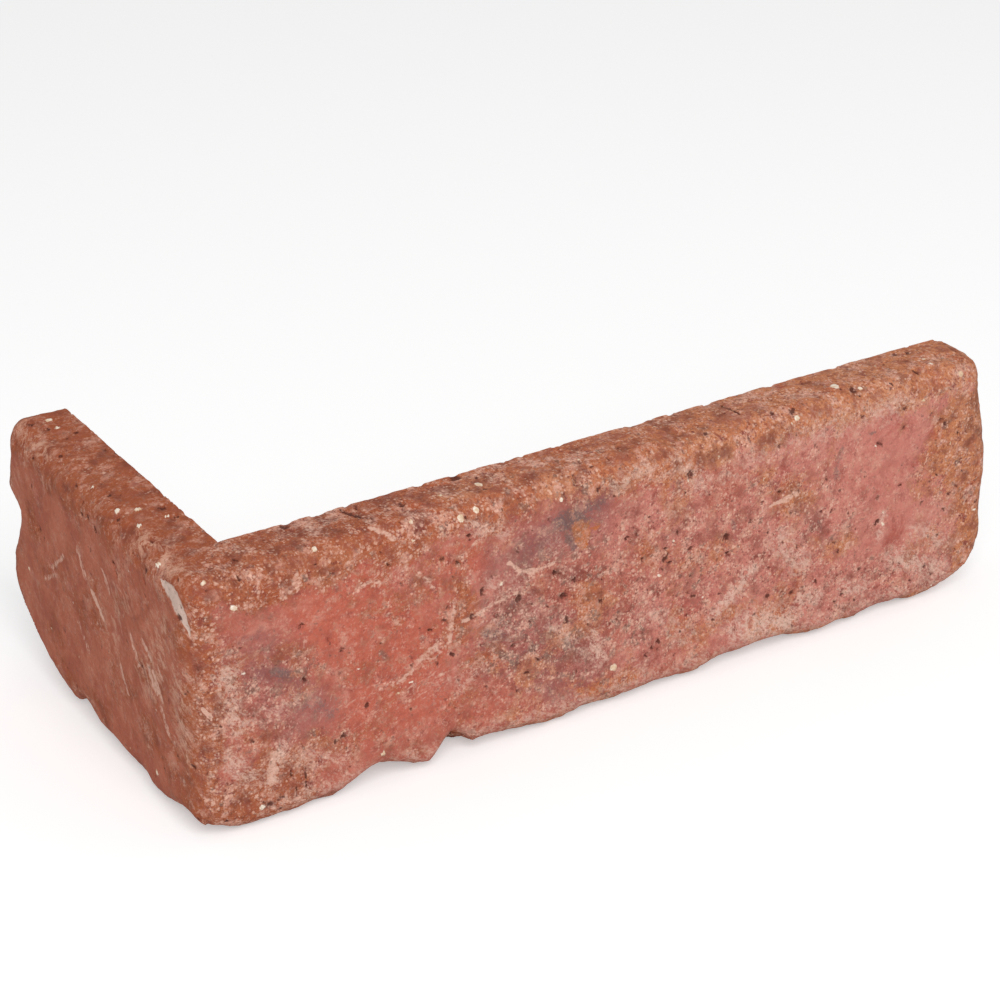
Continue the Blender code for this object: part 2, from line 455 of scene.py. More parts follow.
bloom_patches = (
    (on_stretcher(22, 5), on_stretcher(stretcher_leg / mm, 5), 9 * mm, 0.7),
    (on_stretcher(168, 34), on_stretcher(176, 24), 12 * mm, 0.8),
    (on_stretcher(156, 12), on_stretcher(172, 8), 14 * mm, 1.0),
    (on_stretcher(178, 62), on_stretcher(205, 64), 12 * mm, 0.6),
    (on_stretcher(214, 24), on_stretcher(224, 18), 10 * mm, 0.7),
    (on_stretcher(99, 30), on_stretcher(106, 20), 8 * mm, 0.6),
    (on_stretcher(80, 47), on_stretcher(86, 43), 6 * mm, 0.6),
    (on_stretcher(22, 21), on_stretcher(19.5, 13), 6 * mm, 1.0),
    (on_stretcher(9, 46), on_stretcher(11, 30), 9 * mm, 0.85),
    (on_stretcher(9, 22), on_stretcher(13, 15), 9 * mm, 0.8),
    (on_stretcher(27, 16), on_stretcher(38, 12), 9 * mm, 0.65),
    (on_stretcher(14, 30), on_stretcher(26, 33), 7 * mm, 0.6),
    (on_stretcher(74, 65), on_stretcher(84, 61), 6 * mm, 0.8),
    (on_stretcher(110, 24), on_stretcher(112, 17), 6 * mm, 0.9),
    (on_stretcher(88, 46), on_stretcher(92, 36), 8 * mm, 0.5),
    (on_stretcher(116, 64), on_stretcher(126, 66), 6 * mm, 0.8),
    (on_stretcher(134, 66), on_stretcher(142, 58), 9 * mm, 0.7),
    (on_stretcher(150, 58), on_stretcher(175, 62), 10 * mm, 0.5),
    (on_stretcher(159, 28), on_stretcher(148, 18), 6 * mm, 1.0),
    (on_stretcher(176, 14), on_stretcher(182, 13), 6 * mm, 0.9),
    (on_stretcher(190, 13), on_stretcher(198, 11), 6 * mm, 0.9),
    (on_stretcher(207, 17), on_stretcher(224, 9), 9 * mm, 0.9),
    (on_stretcher(128, 24), on_stretcher(140, 14), 8 * mm, 0.6),
    (on_stretcher(202, 32), on_stretcher(201, 26), 5 * mm, 0.8),
    (on_header(14, 52), on_header(24, 34), 18 * mm, 0.9),
    (on_header(6, 44), on_header(8, 24), 12 * mm, 1.0),
    (on_header(36, 56), on_header(46, 34), 18 * mm, 0.7),
    (on_header(62, 50), on_header(70, 38), 14 * mm, 0.35),
    (on_header(30, 28), on_header(40, 20), 14 * mm, 0.4),
    (on_header(98, 58), on_header(102, 48), 14 * mm, 0.4),
    (on_header(10, 69, 3), on_header(30, 69, 3), 12 * mm, 1.0),
    (on_header(84, 69, 3), on_header(104, 69, 3), 10 * mm, 0.9),
    (on_header(2, 50), on_header(3, 20), 7 * mm, 0.35),
)
# Where the skin is whole and smooth, and where it is coarse
whole_patches = (
    (on_stretcher(84, 52), on_stretcher(106, 59), 20 * mm, 0.6),
    (on_stretcher(38, 48), on_stretcher(60, 30), 32 * mm, 0.45),
    (on_stretcher(44, 22), on_stretcher(62, 18), 16 * mm, 0.4),
)
coarse_patches = (
    (on_stretcher(98, 36), on_stretcher(166, 36), 64 * mm, 1.0),
    (on_stretcher(168, 14), on_stretcher(222, 10), 26 * mm, 1.0),
    (on_stretcher(12, 40), on_stretcher(20, 12), 24 * mm, 0.8),
)

# Scrapes: start, end, width, strength
scrapes = (
    (on_stretcher(72, 39.5), on_stretcher(79, 41), 1.8 * mm, 1.0),
    (on_stretcher(79, 41), on_stretcher(87.5, 42.5), 1.5 * mm, 1.0),
    (on_stretcher(89, 47.7), on_stretcher(93, 47.2), 2.6 * mm, 0.9),
    (on_stretcher(93, 47.2), on_stretcher(98.5, 48), 1.7 * mm, 0.9),
    (on_stretcher(164, 45), on_stretcher(168, 45.5), 1.8 * mm, 1.0),
    (on_stretcher(168, 45.5), on_stretcher(173, 46.5), 2.4 * mm, 0.9),
    (on_stretcher(112, 40), on_stretcher(121, 41), 2.6 * mm, 0.6),
    (on_stretcher(43, 56.5), on_stretcher(47, 58), 1.8 * mm, 0.7),
    (on_stretcher(47, 58), on_stretcher(50.5, 56.5), 1.6 * mm, 0.7),
    (on_stretcher(64.5, 26), on_stretcher(68, 27), 1.8 * mm, 0.7),
    (on_stretcher(54, 28), on_stretcher(59, 31), 2.4 * mm, 0.7),
    (on_stretcher(58, 32), on_stretcher(65, 35), 3.4 * mm, 0.75),
    (on_stretcher(61, 30.5), on_stretcher(66, 33), 1.8 * mm, 0.6),
    (on_stretcher(72, 57), on_stretcher(78, 61), 2.4 * mm, 0.7),
    (on_stretcher(126, 30), on_stretcher(132, 33), 3.0 * mm, 0.4),
    (on_stretcher(176, 12), on_stretcher(184, 16), 4.0 * mm, 0.5),
    (on_stretcher(85.5, 51), on_stretcher(89.5, 47.5), 1.8 * mm, 1.0),
    (on_stretcher(50, 70, 4), on_stretcher(54, 67, 1), 2.2 * mm, 0.9),
    (on_stretcher(60, 56), on_stretcher(64, 51), 2.4 * mm, 0.6),
    (on_stretcher(135, 62), on_stretcher(138, 58), 3.4 * mm, 0.4),
    (on_stretcher(69.5, 46), on_stretcher(69, 41), 2.0 * mm, 0.7),
    (on_stretcher(68.5, 40), on_stretcher(68.5, 35), 2.6 * mm, 0.75),
    (on_stretcher(112, 25), on_stretcher(111, 18), 4.0 * mm, 0.5),
    (on_stretcher(148, 59), on_stretcher(149, 53), 2.6 * mm, 0.35),
    (on_stretcher(20, 20), on_stretcher(19, 13), 3.6 * mm, 0.8),
    (on_header(55, 43), on_header(50.5, 38), 2.8 * mm, 1.1),
    (on_header(26, 44), on_header(22, 41), 2.6 * mm, 0.9),
    (on_header(24, 38), on_header(20, 33), 3.0 * mm, 0.85),
    (on_header(21, 38), on_header(17, 32), 2.4 * mm, 0.9),
    (on_header(18, 41), on_header(16, 38), 2.0 * mm, 0.8),
    (on_header(41, 30), on_header(37, 24), 2.6 * mm, 0.8),
    (on_header(79, 39), on_header(71, 46), 2.2 * mm, 0.75),
    (on_header(85, 33), on_header(77, 38), 2.0 * mm, 0.7),
    (on_header(18, 30), on_header(15, 25), 3.0 * mm, 0.7),
    (on_header(61, 52), on_header(58, 46), 2.8 * mm, 0.7),
    (on_header(48, 52), on_header(45.5, 48), 3.4 * mm, 0.7),
    (on_header(33, 42), on_header(29, 36), 2.6 * mm, 0.8),
    (on_header(66, 30), on_header(60, 24), 2.8 * mm, 0.6),
    (on_header(1.1, 37.5, 3.2), on_header(0.4, 34.7, 4.7), 1.6 * mm, 1.4),
)
# Grains of grog that show, and holes where grains fell out: centre and width
pale_grains = (
    (on_stretcher(11.5, 62), 2.6 * mm), (on_stretcher(72.5, 67, 1.3), 2.6 * mm),
    (on_stretcher(77, 67.5, 2.3), 2.4 * mm), (on_stretcher(82, 70, 9.5), 2.4 * mm),
    (on_stretcher(100, 64.5), 1.8 * mm), (on_stretcher(116, 12.5), 2.6 * mm),
    (on_stretcher(123.5, 48.5), 1.8 * mm), (on_stretcher(188.5, 70, 7), 2.8 * mm),
    (on_stretcher(226, 66.5, 1), 2.2 * mm), (on_stretcher(219, 70, 8), 1.8 * mm),
    (on_stretcher(194.5, 69, 4), 1.7 * mm), (on_stretcher(202, 29), 1.6 * mm),
    (on_stretcher(201.6, 32.6), 1.5 * mm), (on_stretcher(133.6, 43.6), 1.4 * mm),
    (on_stretcher(129.5, 35.2), 1.5 * mm), (on_stretcher(136.8, 29), 1.3 * mm),
    (on_stretcher(213, 62.5), 1.6 * mm), (on_stretcher(172, 67.5, 1.5), 2.0 * mm),
    (on_stretcher(170, 66.5, 1), 1.5 * mm), (on_stretcher(16.5, 6.5), 2.2 * mm),
    (on_stretcher(34.5, 69, 3.5), 1.8 * mm), (on_stretcher(60, 69, 3), 1.8 * mm),
    (on_stretcher(49, 10), 1.6 * mm), (on_stretcher(53.5, 25.5), 1.4 * mm),
    (on_stretcher(141, 22), 1.5 * mm), (on_stretcher(144, 24), 1.6 * mm),
    (on_header(97, 70, 10), 2.4 * mm), (on_header(92, 70, 10), 1.8 * mm),
    (on_header(43.5, 69.5, 4), 2.2 * mm), (on_header(41, 70, 8), 2.2 * mm),
    (on_header(34, 69.5, 5), 2.0 * mm), (on_header(18, 67.5, 2), 2.2 * mm),
    (on_header(3, 68.5, 6), 2.4 * mm), (on_header(23, 9.5), 1.6 * mm),
    (on_header(58, 69.5, 4), 1.8 * mm), (on_header(34, 70, 12), 1.6 * mm),
)
single_holes = (
    (on_stretcher(101, 37.5), 2.8 * mm), (on_stretcher(88, 40.5), 2.6 * mm),
    (on_stretcher(131.5, 42), 1.8 * mm), (on_stretcher(133, 40.3), 1.7 * mm),
    (on_stretcher(131.8, 38.6), 2.2 * mm), (on_stretcher(130.6, 36.6), 1.7 * mm),
    (on_stretcher(133.2, 37), 1.8 * mm), (on_stretcher(140.7, 31), 1.8 * mm),
    (on_stretcher(139.2, 29.4), 2.0 * mm), (on_stretcher(141.2, 28.6), 1.7 * mm),
    (on_stretcher(139.4, 26.8), 1.7 * mm), (on_stretcher(141, 25.6), 2.2 * mm),
    (on_stretcher(138.8, 24.4), 1.8 * mm), (on_stretcher(137.6, 22.6), 1.9 * mm),
    (on_stretcher(129.8, 15.8), 1.9 * mm), (on_stretcher(128, 14.6), 1.8 * mm),
    (on_stretcher(126.6, 13.2), 1.95 * mm), (on_stretcher(130.2, 13.2), 1.7 * mm),
    (on_stretcher(120, 48), 2.2 * mm), (on_stretcher(121.5, 47.4), 1.9 * mm),
    (on_stretcher(98.5, 45), 1.8 * mm), (on_stretcher(78, 46), 2.0 * mm),
    (on_stretcher(63, 40), 1.95 * mm), (on_stretcher(93.5, 22), 1.8 * mm),
    (on_stretcher(104, 41), 1.95 * mm), (on_stretcher(112, 33), 1.8 * mm),
    (on_stretcher(151, 35), 1.8 * mm), (on_stretcher(158, 42), 1.8 * mm),
    (on_stretcher(174, 30), 1.95 * mm), (on_stretcher(86, 28), 1.95 * mm),
    (on_stretcher(138.5, 61), 2.6 * mm), (on_stretcher(88, 15), 1.9 * mm),
    (on_stretcher(88.5, 55), 2.0 * mm), (on_stretcher(88, 53.5), 1.95 * mm),
    (on_stretcher(74, 62), 1.7 * mm), (on_stretcher(192.5, 69.5, 4.7), 3.2 * mm),
    (on_stretcher(207, 61), 1.8 * mm), (on_stretcher(216.5, 57), 2.2 * mm),
    (on_stretcher(220, 54.5), 1.8 * mm), (on_stretcher(199.5, 53), 1.9 * mm),
    (on_stretcher(212, 43), 1.7 * mm), (on_stretcher(208, 39), 1.8 * mm),
    (on_stretcher(218, 37), 1.7 * mm), (on_stretcher(225, 32), 1.7 * mm),
    (on_stretcher(167, 48), 1.9 * mm), (on_stretcher(200.5, 30), 2.2 * mm),
    (on_stretcher(52, 61), 1.95 * mm), (on_stretcher(71, 56), 1.9 * mm),
    (on_stretcher(29, 51.5), 1.8 * mm), (on_stretcher(35.5, 45.5), 1.8 * mm),
    (on_stretcher(45.5, 25), 1.8 * mm), (on_stretcher(38.7, 18.7), 2.0 * mm),
    (on_stretcher(29, 37), 1.8 * mm), (on_stretcher(69, 31), 1.8 * mm),
    (on_stretcher(23, 46.5), 1.8 * mm), (on_stretcher(48.5, 16.5), 1.8 * mm),
    (on_header(39.5, 58), 2.6 * mm), (on_header(38.5, 56), 2.0 * mm),
    (on_header(54, 64), 2.2 * mm), (on_header(57, 63), 1.8 * mm),
    (on_header(50, 62.5), 1.95 * mm), (on_header(23, 62), 1.8 * mm),
)
# Hair cracks: start, end, width, strength
cracks = (
    (on_stretcher(24, 14), on_stretcher(25.5, 10), 1.0 * mm, 0.8),
    (on_stretcher(25.5, 10), on_stretcher(25.8, 6), 1.1 * mm, 0.9),
    (on_stretcher(28, 13), on_stretcher(28, 8), 0.8 * mm, 0.7),
    (on_stretcher(48, 70, 15), on_stretcher(49.5, 70, 11), 1.3 * mm, 1.0),
    (on_stretcher(49.5, 70, 11), on_stretcher(52, 70, 8), 1.1 * mm, 0.8),
    (on_stretcher(157, 70, 16), on_stretcher(158, 70, 8), 1.1 * mm, 0.9),
)

# The skin's points shaken about, so that what is laid on them gets an uneven rim
wobble = np.stack([crumble(skin, 5 * mm, seed=40 + k) for k in range(3)], axis=1)
jitter = np.stack([crumble(skin, 1.8 * mm, seed=140 + k, layers=2) for k in range(3)], axis=1)
uneven = skin + 1.5 * mm * wobble
jagged = skin + 0.8 * mm * jitter
bent = skin + 0.35 * mm * jitter + 0.5 * mm * wobble

terracotta = soft_patches(uneven, terracotta_patches)
mauve = soft_patches(uneven, mauve_patches)
smoke = soft_patches(uneven, smoke_patches)
slate = soft_patches(uneven, slate_blots)
ochre = soft_patches(uneven, ochre_blots)
bloom = soft_patches(uneven, bloom_patches)
scraped = crisp_lines(bent, scrapes)
cracked = crisp_lines(bent + 0.5 * mm * wobble, cracks)

# The flake beside the corner: a thin crescent of skin that has sprung off the header face. It
# hangs above the chord between its tips, and is widest a little before the middle.
flake_start = on_header(14.3, 66)
flake_end = on_header(2.5, 56)
flake_rise = 3.2 * mm
flake_half_width = 3.0 * mm
flake_run = flake_end - flake_start
flake_length = np.linalg.norm(flake_run)
chord = flake_run / flake_length
chord_up = np.cross(chord, (1, 0, 0))
chord_up = chord_up * np.sign(chord_up[2])
chipped = skin + 0.25 * mm * jitter
share_along = (chipped - flake_start) @ chord / flake_length
bow = np.clip(4 * share_along * (1 - share_along), 0, 1)
taper = bow * (1.25 - 0.7 * share_along)
chord_gap = (chipped - flake_start) @ chord_up - flake_rise * bow
flake = 1 - np.abs(chord_gap) / (flake_half_width * taper + 0.01 * mm)
flake = np.where((x < 4 * mm) & (bow > 0), np.maximum(flake, 0), 0.0)

# Roughness: worn and coarse clay crumbles, with pits and holes, and the smooth skin does not
whole = soft_patches(uneven, whole_patches)
worn_through = worn_through * (1 - whole)
coarseness = 0.7 + 0.3 * ramp(crumble(skin, 12 * mm, seed=68), -0.3, 0.3)
coarse = soft_patches(uneven, coarse_patches) * coarseness * (1 - whole)
rough = np.maximum(worn_through, coarse)
grit = crumble(skin, 1.7 * mm, seed=60, layers=2)
crumbs = crumble(skin, 3.2 * mm, seed=61)
swell = crumble(skin, 14 * mm, seed=64)
# Painted shade: the low places between the crumbs of rough clay, which the colour darkens
crevice_shade = ramp(-crumbs, 0.05, 0.5) * rough
hole_share = 0.35 + 0.65 * rough
pits = hole_share * pocks(jagged, spacing=3.0 * mm, most=1.1 * mm, share=0.50, seed=70)
holes = hole_share * pocks(jagged, spacing=9 * mm, most=2.1 * mm, share=0.30, seed=80)
grog = pocks(jagged, spacing=4.0 * mm, most=0.95 * mm, share=0.25, seed=90)
listed_holes = round_spots(jagged, single_holes)
listed_grains = round_spots(skin + 0.5 * mm * jitter, pale_grains)
foot_chips = (1 - ramp(z, 0.5 * mm, 5 * mm)) * ramp(crumble(skin, 4.5 * mm, seed=100), -0.05, 0.4)
saw_rim = ramp(depth, thickness - 1.6 * mm, thickness)
saw_chips = saw_rim * ramp(crumble(skin, 3.5 * mm, seed=104), 0.1, 0.5)

# Relief outwards. The whole skin is sunk a little, so that no grain stands out of the box.
sunk = 0.22 * mm
swell_height = 0.10 * mm
grit_height = 0.06 * mm
rough_grit_height = 0.10 * mm
crumb_height = 0.32 * mm
grog_height = 0.25 * mm
listed_grain_height = 0.35 * mm
pit_depth = 0.45 * mm
hole_depth = 0.9 * mm
crack_depth = 0.5 * mm
scrape_depth = 0.10 * mm
flake_depth = 0.30 * mm
foot_chip_depth = 0.5 * mm
saw_chip_depth = 0.7 * mm
relief = swell_height * swell - sunk
relief += (grit_height + rough_grit_height * rough) * grit + crumb_height * rough * crumbs
relief += grog_height * grog + listed_grain_height * listed_grains
relief -= pit_depth * pits + hole_depth * (holes + listed_holes)
relief -= crack_depth * cracked + scrape_depth * scraped
relief -= flake_depth * ramp(flake, 0.0, 0.4)
relief -= foot_chip_depth * foot_chips + saw_chip_depth * saw_chips

# The saw cuts stay flat: their points only move within the cut
slack = 0.0001 * mm
on_header_cut = (np.abs(x - thickness) < slack) & (y > thickness - slack)
on_stretcher_cut = (np.abs(y - thickness) < slack) & (x > thickness - slack)
move = outward * relief[:, None]
move[on_header_cut, 0] = 0.0
move[on_stretcher_cut, 1] = 0.0
skin = np.clip(skin + move, 0, (stretcher_leg, header_leg, height))
offset = np.array((low.x, low.y, low.z))
slip_mesh.vertices.foreach_set("co", (skin + offset).astype(np.float32).ravel())

# What the clay's colours read at each point. The body is pinker towards the stretcher's far end,
# and browner on the header and round the corner.
skin_marks = {
    "scraped": scraped,
    "worn_through": worn_through,
    "rough": rough,
    "crevice_shade": crevice_shade,
    "terracotta": terracotta,
    "mauve": mauve,
    "smoke": smoke,
    "slate": slate,
    "ochre": ochre,
    "bloom": bloom,
    "flake": flake,
    # Pits, holes and cracks, where the colour lays painted shade
    "hole_shade": np.max((pits, holes, listed_holes, cracked), axis=0),
    "grog": np.maximum(0.8 * grog, listed_grains),
    "pink": ramp(x, 55 * mm, 200 * mm),
    "brown": np.maximum(ramp(y - x, -16 * mm, 3 * mm), 0.75 * (1 - ramp(x, 30 * mm, 90 * mm))),
    "header": ramp(y - x, -2 * mm, 4 * mm),
}
for name, values in skin_marks.items():
    slip_mesh.attributes.new(name, "FLOAT", "POINT").data.foreach_set("value", values.astype(np.float32))
sawn = np.zeros(len(slip_mesh.polygons), dtype=np.float32)
sawn[-len(back_faces):] = 1.0
slip_mesh.attributes.new("sawn", "FLOAT", "FACE").data.foreach_set("value", sawn)

# The skin is smooth, and the arrises round the two saw cuts are sharp
slip_mesh.shade_smooth()
ends = np.empty(2 * len(slip_mesh.edges), dtype=np.int32)
slip_mesh.edges.foreach_get("vertices", ends)
ends = ends.reshape(-1, 2)
on_arris = np.zeros(len(skin), dtype=bool)
on_arris[back_faces[0] + back_faces[1]] = True
sharp = on_arris[ends].all(axis=1)
slip_mesh.attributes.new("sharp_edge", "BOOLEAN", "EDGE").data.foreach_set("value", sharp)
slip_mesh.update()


def paint(red, green, blue):
    """A colour as seen on a screen, 0 to 255, as the linear colour that a shader takes."""
    seen = np.array((red, green, blue)) / 255
    linear = np.where(seen <= 0.04045, seen / 12.92, ((seen + 0.055) / 1.055) ** 2.4)
    return (*linear.tolist(), 1.0)


def fired_clay():
    """Mottled red clay, sandy where it is worn through, with pale bloom, grog lit in places by a painted
    glint, and painted shade in its holes, cracks and crevices.

    Each layer of colour covers the one below by a share from 0 to 1. The share is a smooth step
    of a noise, of a mark on the skin, or of the two added up.
    """
    material = bpy.data.materials.new("fired_clay")
    material.use_nodes = True
    tree = material.node_tree
    shader = tree.nodes["Principled BSDF"]
    place = tree.nodes.new("ShaderNodeTexCoord").outputs["Object"]

    def put(target, value):
        """Link a value to a socket, or set the socket where the value is a plain one."""
        if isinstance(value, bpy.types.NodeSocket):
            tree.links.new(value, target)
        else:
            target.default_value = value

    def turned(stretch, angles):
        """The place on the piece, stretched along its axes and turned by angles in degrees."""
        mapping = tree.nodes.new("ShaderNodeMapping")
        mapping.vector_type = "TEXTURE"
        mapping.inputs["Scale"].default_value = stretch
        mapping.inputs["Rotation"].default_value = [math.radians(a) for a in angles]
        tree.links.new(place, mapping.inputs["Vector"])
        return mapping.outputs["Vector"]

    def noise(size, layers, harshness, stretch=(1, 1, 1), angles=(0, 0, 0), warp=0.0):
        """Noise about 0.5 with lumps of a size, and finer layers that each fade by harshness."""
        node = tree.nodes.new("ShaderNodeTexNoise")
        node.inputs["Scale"].default_value = 1 / size
        node.inputs["Detail"].default_value = layers
        node.inputs["Roughness"].default_value = harshness
        node.inputs["Distortion"].default_value = warp
        tree.links.new(turned(stretch, angles), node.inputs["Vector"])
        return node.outputs["Fac"]

    def math_of(kind, a, b):
        """One step of arithmetic on two values."""
        node = tree.nodes.new("ShaderNodeMath")
        node.operation = kind
        put(node.inputs[0], a)
        put(node.inputs[1], b)
        return node.outputs[0]

    def times(a, b):
        """The product of two values."""
        return math_of("MULTIPLY", a, b)

    def plus(a, b):
        """The sum of two values."""
        return math_of("ADD", a, b)

    def higher(a, b):
        """The higher of two values."""
        return math_of("MAXIMUM", a, b)

    def around(value, strength):
        """A value about 0.5 as one about 0, times a strength."""
        return times(plus(value, -0.5), strength)

    def step(value, start, end, low_value=0.0, high_value=1.0):
        """Smooth step from a low value at start to a high value at end."""
        node = tree.nodes.new("ShaderNodeMapRange")
        node.interpolation_type = "SMOOTHSTEP"
        for name, part in (
            ("Value", value), ("From Min", start), ("From Max", end),
            ("To Min", low_value), ("To Max", high_value),
        ):
            put(node.inputs[name], part)
        return node.outputs["Result"]

    def mixed(share, under, over):
        """One colour covered by another in a share from 0 to 1."""
        node = tree.nodes.new("ShaderNodeMix")
        node.data_type = "RGBA"
        # The colours' own sockets of this node go by number, because its names repeat
        put(node.inputs[0], share)
        put(node.inputs[6], under)
        put(node.inputs[7], over)
        return node.outputs[2]

    def mark(name):
        """A mark on the skin, read from the mesh."""
        node = tree.nodes.new("ShaderNodeAttribute")
        node.attribute_name = name
        return node.outputs["Fac"]

    def patched(under, where, rim, start, end, most, over):
        """A patch of colour whose rim is made uneven by a noise about 0."""
        return mixed(step(plus(where, rim), start, end, 0.0, most), under, over)

    def speckled(under, grain, start, full, most, where, dark, pale):
        """Clay darker where a noise lies below 0.5, and paler where it lies above."""
        below = step(grain, 0.5 - start, 0.5 - full, 0.0, most)
        above = step(grain, 0.5 + start, 0.5 + full, 0.0, most)
        under = mixed(times(below, where), under, dark)
        return mixed(times(above, where), under, pale)

    pink = mark("pink")
    mauve = mark("mauve")
    header = mark("header")
    sawn = mark("sawn")
    broad = noise(34 * mm, 5, 0.6, warp=0.5)
    middle = noise(11 * mm, 6, 0.68, warp=0.6)
    clustered = noise(5.5 * mm, 5, 0.68)
    small = noise(3.6 * mm, 5, 0.70, warp=0.3)
    fine = noise(1.5 * mm, 4, 0.70)
    sand = noise(0.65 * mm, 2, 0.70)
    uneven_rim = around(middle, 1.6)
    ragged_rim = plus(around(small, 1.6), around(sand, 1.0))

    # The nearly smooth skin from the mould, with the patches that the kiln left
    pinker = plus(broad, around(pink, 0.30))
    field = mixed(step(pinker, 0.42, 0.58), paint(186, 104, 86), paint(203, 126, 112))
    field = mixed(step(middle, 0.50, 0.66, 0.0, 0.75), field, paint(174, 86, 74))
    field = mixed(step(middle, 0.47, 0.34, 0.0, 0.60), field, paint(214, 146, 128))
    field = patched(field, mark("terracotta"), uneven_rim, 0.25, 0.80, 0.85, paint(195, 101, 81))
    field = patched(field, mauve, uneven_rim, 0.20, 0.85, 0.80, paint(170, 103, 95))
    header_clay = mixed(step(middle, 0.38, 0.62), paint(170, 90, 66), paint(189, 111, 84))
    field = mixed(times(header, 0.9), field, header_clay)
    smoke = higher(mark("smoke"), step(noise(12 * mm, 6, 0.7, warp=0.4), 0.60, 0.72, 0.0, 0.55))
    field = patched(field, smoke, ragged_rim, 0.30, 0.95, 0.80, paint(138, 86, 84))
    field = patched(field, mark("slate"), ragged_rim, 0.30, 0.80, 0.85, paint(114, 92, 90))
    field = patched(field, mark("ochre"), ragged_rim, 0.25, 0.65, 0.90, paint(188, 104, 50))

    # The sandy body where the rims are worn through, browner round the corner
    sandy = mixed(pink, paint(186, 105, 69), paint(206, 133, 91))
    sandy_dark = mixed(pink, paint(171, 97, 66), paint(184, 110, 78))
    sandy = mixed(step(small, 0.42, 0.62), sandy, sandy_dark)
    sandy = mixed(step(middle, 0.54, 0.66, 0.0, 0.6), sandy, paint(186, 89, 54))
    sandy = mixed(step(broad, 0.50, 0.38, 0.0, 0.5), sandy, paint(204, 140, 104))
    sandy = mixed(times(mark("brown"), 0.85), sandy, paint(160, 82, 49))
    colour = patched(field, mark("worn_through"), ragged_rim, 0.25, 0.75, 1.0, sandy)

    # Grain in four sizes, strongest where the skin is rough and calmer on the header face
    calm = step(header, 0.0, 1.0, 1.0, 0.55)
    grainy = times(step(mark("rough"), 0.0, 0.8, 0.36, 1.0), calm)
    lively = times(grainy, step(clustered, 0.36, 0.62, 0.35, 1.2))
    colour = speckled(colour, clustered, 0.02, 0.14, 0.60, grainy, paint(142, 74, 62), paint(220, 164, 144))
    colour = speckled(colour, small, 0.03, 0.16, 0.75, lively, paint(134, 62, 52), paint(222, 166, 146))
    grey_green = step(plus(noise(2.8 * mm, 5, 0.65), times(mauve, 0.10)), 0.59, 0.68, 0.0, 0.7)
    colour = mixed(times(grey_green, lively), colour, paint(128, 104, 92))
    colour = speckled(colour, fine, 0.04, 0.18, 0.70, lively, paint(124, 54, 44), paint(230, 176, 154))
    colour = speckled(colour, sand, 0.06, 0.22, 0.60, lively, paint(116, 50, 40), paint(236, 188, 166))
    # Painted shade darkens the low places between the crumbs
    colour = mixed(times(mark("crevice_shade"), 0.55), colour, paint(112, 56, 44))

    # Pale dust, rubbed in by short strokes that cross on the stretcher and slant on the header
    dusty = higher(mark("bloom"), step(noise(16 * mm, 5, 0.65), 0.54, 0.72, 0.0, 0.6))
    strokes = noise(1.2 * mm, 4, 0.80, stretch=(2.2, 1, 1), angles=(0, 32, 0))
    cross_strokes = noise(1.2 * mm, 4, 0.80, stretch=(1, 1, 2.2), angles=(20, -24, 0))
    header_strokes = noise(2.0 * mm, 5, 0.80, stretch=(1, 2.0, 1), angles=(42, 0, 0), warp=0.5)
    dust = mixed(header, higher(strokes, cross_strokes), header_strokes)
    dusted = step(plus(dust, times(dusty, 0.11)), 0.53, 0.71)
    dust_colour = mixed(header, paint(228, 190, 172), paint(214, 162, 138))
    colour = mixed(times(times(dusty, dusted), 0.9), colour, dust_colour)

    # Scrapes, specks of the same pale clay, and hair-fine scratches on the stretcher
    scrape_grain = noise(0.9 * mm, 4, 0.7, stretch=(1.8, 1, 1.4), angles=(0, 30, 0))
    scrape = step(plus(mark("scraped"), around(scrape_grain, 2.2)), 0.40, 1.00, 0.0, 0.9)
    speck = step(scrape_grain, 0.67, 0.82, 0.0, 0.9)
    colour = mixed(higher(scrape, speck), colour, paint(224, 178, 158))
    off_header = step(header, 0.5, 0.0)
    for stretch, angles, spread, most in (
        ((3, 1, 1), (0, -20, 0), 17 * mm, 0.5),
        ((1, 1, 3), (0, 12, 0), 21 * mm, 0.4),
    ):
        hairs = noise(0.8 * mm, 3, 0.6, stretch, angles, warp=0.3)
        scratch = step(hairs, 0.56, 0.70, 0.0, most)
        area = times(step(noise(spread, 4, 0.7), 0.52, 0.64), off_header)
        colour = mixed(times(scratch, area), colour, paint(228, 182, 162))

    # Single grains of sand: round cells, shaken out of shape, of which a few are pale or dark
    shake_size = 0.9 * mm
    shake_reach = 0.7 * mm
    shaker = tree.nodes.new("ShaderNodeTexNoise")
    shaker.inputs["Scale"].default_value = 1 / shake_size
    tree.links.new(place, shaker.inputs["Vector"])
    shaken = tree.nodes.new("ShaderNodeVectorMath")
    shaken.operation = "MULTIPLY_ADD"
    tree.links.new(shaker.outputs["Color"], shaken.inputs[0])
    shaken.inputs[1].default_value = (shake_reach, shake_reach, shake_reach)
    tree.links.new(place, shaken.inputs[2])
    clearness = step(lively, 0.2, 0.9, 0.15, 1.0)
    for size, more_pale, more_dark in ((1.1 * mm, 0.16, 0.12), (0.7 * mm, 0.26, 0.22)):
        cells = tree.nodes.new("ShaderNodeTexVoronoi")
        cells.inputs["Scale"].default_value = 1 / size
        tree.links.new(shaken.outputs["Vector"], cells.inputs["Vector"])
        chance = tree.nodes.new("ShaderNodeSeparateColor")
        tree.links.new(cells.outputs["Color"], chance.inputs["Color"])
        body = times(step(cells.outputs["Distance"], 0.60, 0.25), clearness)
        pale = step(plus(chance.outputs["Red"], times(lively, more_pale)), 0.93, 1.04)
        dark = step(plus(chance.outputs["Green"], times(lively, more_dark)), 0.95, 1.03)
        colour = mixed(times(times(dark, body), 0.45), colour, paint(104, 44, 34))
        colour = mixed(times(times(pale, body), 0.50), colour, paint(244, 198, 176))
